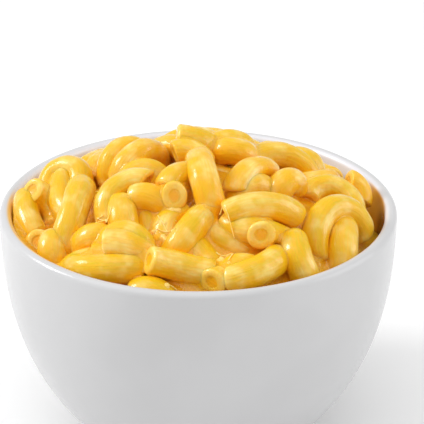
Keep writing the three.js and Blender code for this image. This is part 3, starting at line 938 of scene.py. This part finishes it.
def pasta_in_sauce():
    """Cooked durum pasta under a film of cheese sauce: soft and translucent, with a wet sheen.

    The film is thick and pale in some places, thin in others. Fine lines left by the die run along each tube,
    the cut ends are paler and the mouths stand full of sauce.
    """
    material = new_material("cooked pasta in cheese sauce")
    tree = material.node_tree
    coordinates = add(tree, COORDINATES)
    place = coordinates.outputs["Object"]
    facing = add(tree, "ShaderNodeSeparateXYZ", (coordinates.outputs["Normal"],)).outputs["Z"]
    tone = add(tree, ATTRIBUTE, attribute_name="tone").outputs["Fac"]
    section = add(tree, ATTRIBUTE, attribute_name="section").outputs["Vector"]
    x, y, share = add(tree, "ShaderNodeSeparateXYZ", (section,)).outputs
    radius = add(tree, VECTOR_MATH, (add(tree, "ShaderNodeCombineXYZ", (x, y)),), operation="LENGTH")
    nearer_end = add(tree, MATH, (share, 0.5), operation="PINGPONG")
    from_end = add(tree, MATH, (nearer_end, BLANK_LENGTH), operation="MULTIPLY")

    # patches of the film 6 mm wide, soft lumps of 3 mm, and a grain in the sauce, which is finer than a tenth
    # of a millimetre and drawn at 0.4 mm, so that it shows
    film, lumps, grain = (
        add(tree, NOISE, {"Vector": place, "Scale": 1 / (size * MM)}) for size in (6.0, 3.0, 0.4)
    )
    # the die's lines, 0.2 mm wide on the real thing and drawn at 0.7 mm, so that they show. A line runs on
    # for about a quarter of an elbow's length, and each elbow has its own.
    line_width, drift, apart = 0.7, 3.0, 90.0
    own = add(tree, MATH, (tone, apart), operation="MULTIPLY")
    along = add(tree, MATH, (share, drift, own), operation="MULTIPLY_ADD")
    drawn = add(tree, "ShaderNodeCombineXYZ", (x, y, along))
    lines = add(tree, NOISE, {"Vector": drawn, "Scale": 1 / line_width})

    # painted light: the base colour is brighter deep in the gaps, against the shade there, and darker on free
    # crests
    colour = tint(tree, colour_by_openness(tree, PASTA_PAINTED_LIGHT_TONES), (
        (tone, 0.3, 1.0, 0.0, 0.5, "#F4B40C"),  # some elbows are deeper in colour than others
        (facing, 0.7, -0.2, 0.0, 0.4, "#F8A810"),  # painted shade and bounced light: warmer orange where the skin faces down or sideways
        (film, 0.42, 0.85, 0.0, 0.75, "#FBEA90"),
        (lines, 0.35, 0.65, 0.0, 0.42, "#F4B41C"),
    ))
    # the cut faces, then the sauce in the mouths: how near the end, how near the bore, share and colour
    for ends, ring, strength, code in (
        ((1.2, 0.3), (BORE_RADIUS - 0.6, BORE_RADIUS + 0.8), 0.3, "#FFDE78"),
        ((4.0, 3.0), (BORE_RADIUS + 0.4, BORE_RADIUS - 1.0), 0.8, "#F6AE12"),
    ):
        at_end = add(tree, RANGE, (from_end, *ends), **SMOOTH)
        in_ring = add(tree, RANGE, (radius, *ring, 0.0, strength), **SMOOTH)
        both = add(tree, MATH, (at_end, in_ring), operation="MULTIPLY")
        colour = add(tree, MIX, (both, colour, srgb(code)), data_type="RGBA")
    return finish(material, colour, ((lumps, 0.34), (lines, 0.2), (grain, 0.05)), {
        "Roughness": add(tree, RANGE, (film, 0.35, 0.65, 0.5, 0.36), **SMOOTH),
        "Coat Weight": add(tree, RANGE, (film, 0.35, 0.6, 0.4, 1.0), **SMOOTH),
        "Coat Roughness": 0.17,
        "Coat IOR": 1.48,
        "IOR": 1.4,
        "Specular IOR Level": 0.25,
        "Subsurface Weight": 0.5,
        "Subsurface Radius": (1.0, 0.8, 0.4),
        "Subsurface Scale": 1.1 * MM,
    })


def cheese_sauce():
    """Melted cheese sauce run together in the gaps: lumpy and glossy, brighter and more orange deep in the
    gaps, partly where it is thick and partly as painted light against the shade there.
    """
    material = new_material("melted cheese sauce")
    tree = material.node_tree
    place = add(tree, COORDINATES).outputs["Object"]
    curdled = add(tree, ATTRIBUTE, attribute_name="curdled").outputs["Fac"]
    # curds of 1.6 mm, and a grain finer than a tenth of a millimetre, drawn at 0.4 mm so that it shows
    curds = add(tree, NOISE, {"Vector": place, "Scale": 1 / (1.6 * MM), "Detail": 3.0, "Roughness": 0.6})
    grain = add(tree, NOISE, {"Vector": place, "Scale": 1 / (0.4 * MM)})
    # painted light: brighter and more orange deep in the gaps, partly for the thicker sauce there
    colour = tint(tree, colour_by_openness(tree, SAUCE_PAINTED_LIGHT_TONES), (
        (curds, 0.52, 0.72, 0.0, 0.35, "#FFD878"),
        (curdled, 0.0, 1.0, 0.0, 0.7, "#FFDC80"),
    ))
    return finish(material, colour, ((curds, 0.5), (grain, 0.06)), {
        "Roughness": 0.34,
        "Coat Weight": 0.6,
        "Coat Roughness": 0.12,
        "IOR": 1.4,
        "Specular IOR Level": 0.3,
        "Subsurface Weight": 0.3,
        "Subsurface Radius": (1.0, 0.85, 0.5),
        "Subsurface Scale": 0.8 * MM,
    })


def drawn_cheese():
    """Threads of cheese drawn out thin: pale, smooth and shiny."""
    material = new_material("drawn melted cheese")
    tree = material.node_tree
    place = add(tree, COORDINATES).outputs["Object"]
    # the colour changes every 1.5 mm or so, and the skin is dimpled every half a millimetre
    patches, dimples = (add(tree, NOISE, {"Vector": place, "Scale": 1 / (size * MM)}) for size in (1.5, 0.5))
    colour = tint(tree, srgb("#FFDF8C"), ((patches, 0.4, 0.7, 0.0, 1.0, "#FFCE58"),))
    return finish(material, colour, ((dimples, 0.08),), {
        "Roughness": 0.3,
        "IOR": 1.42,
        "Subsurface Weight": 0.4,
        "Subsurface Radius": (1.0, 0.85, 0.4),
        "Subsurface Scale": 0.5 * MM,
    })


def matt_paint():
    """The floor's white wall paint, rolled on: no gloss."""
    return finish(new_material("matt white paint"), srgb("#EEEEEE"), (), {"Roughness": 0.9})


# --------------------------------------------------------------------------------------------- the studio

def make_floor():
    corners = [(x * FLOOR_SIZE, y * FLOOR_SIZE, 0) for x, y in ((-1, -1), (1, -1), (1, 1), (-1, 1))]
    mesh = bpy.data.meshes.new("floor")
    mesh.from_pydata(corners, [], [(0, 1, 2, 3)])
    mesh.materials.append(matt_paint())
    floor = bpy.data.objects.new("floor", mesh)
    bpy.context.collection.objects.link(floor)


def make_light(name, place, size, energy):
    """A square lamp that faces the middle of the bowl's rim."""
    lamp = bpy.data.lights.new(name, "AREA")
    lamp.size = size
    lamp.energy = energy
    obj = bpy.data.objects.new(name, lamp)
    obj.location = place
    aim = Vector(np.subtract((0, 0, RIM * MM), place))
    obj.rotation_euler = aim.to_track_quat("-Z", "Y").to_euler()
    bpy.context.collection.objects.link(obj)


def make_camera():
    """Looks down on the dish from the diner's side with a long lens."""
    camera = bpy.data.cameras.new("camera")
    camera.sensor_width = SENSOR
    camera.lens = FOCAL_LENGTH / FRAME_SIDE * SENSOR
    camera.shift_x = (FRAME_SIDE / 2 - RIM_MIDDLE_X) / FRAME_SIDE
    camera.shift_y = -(FRAME_SIDE / 2 - RIM_MIDDLE_Y) / FRAME_SIDE
    obj = bpy.data.objects.new("camera", camera)
    back = CAMERA_DISTANCE * math.cos(CAMERA_ELEVATION)
    up = CAMERA_DISTANCE * math.sin(CAMERA_ELEVATION)
    obj.location = (0, -back, RIM * MM + up)
    obj.rotation_euler = (math.pi / 2 - CAMERA_ELEVATION, 0, 0)
    bpy.context.collection.objects.link(obj)
    bpy.context.scene.camera = obj


def make_studio():
    make_floor()
    world = bpy.data.worlds.new("studio")
    bpy.context.scene.world = world
    world.use_nodes = True
    background = world.node_tree.nodes["Background"]
    background.inputs["Color"].default_value = srgb("#FFFFFF")
    background.inputs["Strength"].default_value = WORLD_STRENGTH
    for light in LIGHTS:
        make_light(*light)
    bpy.context.scene.view_settings.view_transform = "Standard"


# ----------------------------------------------------------------------------------------------- the dish

def make_heap():
    arcs = lay_elbows()
    grid = heap_distance(arcs)
    skin = pasta_in_sauce()
    tree, blank = bending_tree(), make_blank()
    top, under = arcs[:len(ELBOWS)], arcs[len(ELBOWS):]
    for name, group, seed in (("macaroni_top", top, TOP_SEED), ("macaroni_under", under, UNDER_SEED)):
        mesh = bend_elbows(name, group, seed, tree, blank, skin)
        keep_openness(mesh, grid)
        piece(name, mesh, skin, "macaroni_heap")
    bpy.data.objects.remove(blank)
    threads = cheese_strings(grid)
    piece("cheese_strings", threads, drawn_cheese(), "macaroni_heap")
    curds = drop_curds(grid)
    sauce = sauce_mesh(grid)
    keep_openness(sauce, grid)
    keep_curdled(sauce, curds)
    piece("cheese_sauce", sauce, cheese_sauce(), "macaroni_heap")


make_camera()
make_studio()
make_bowl()
make_heap()
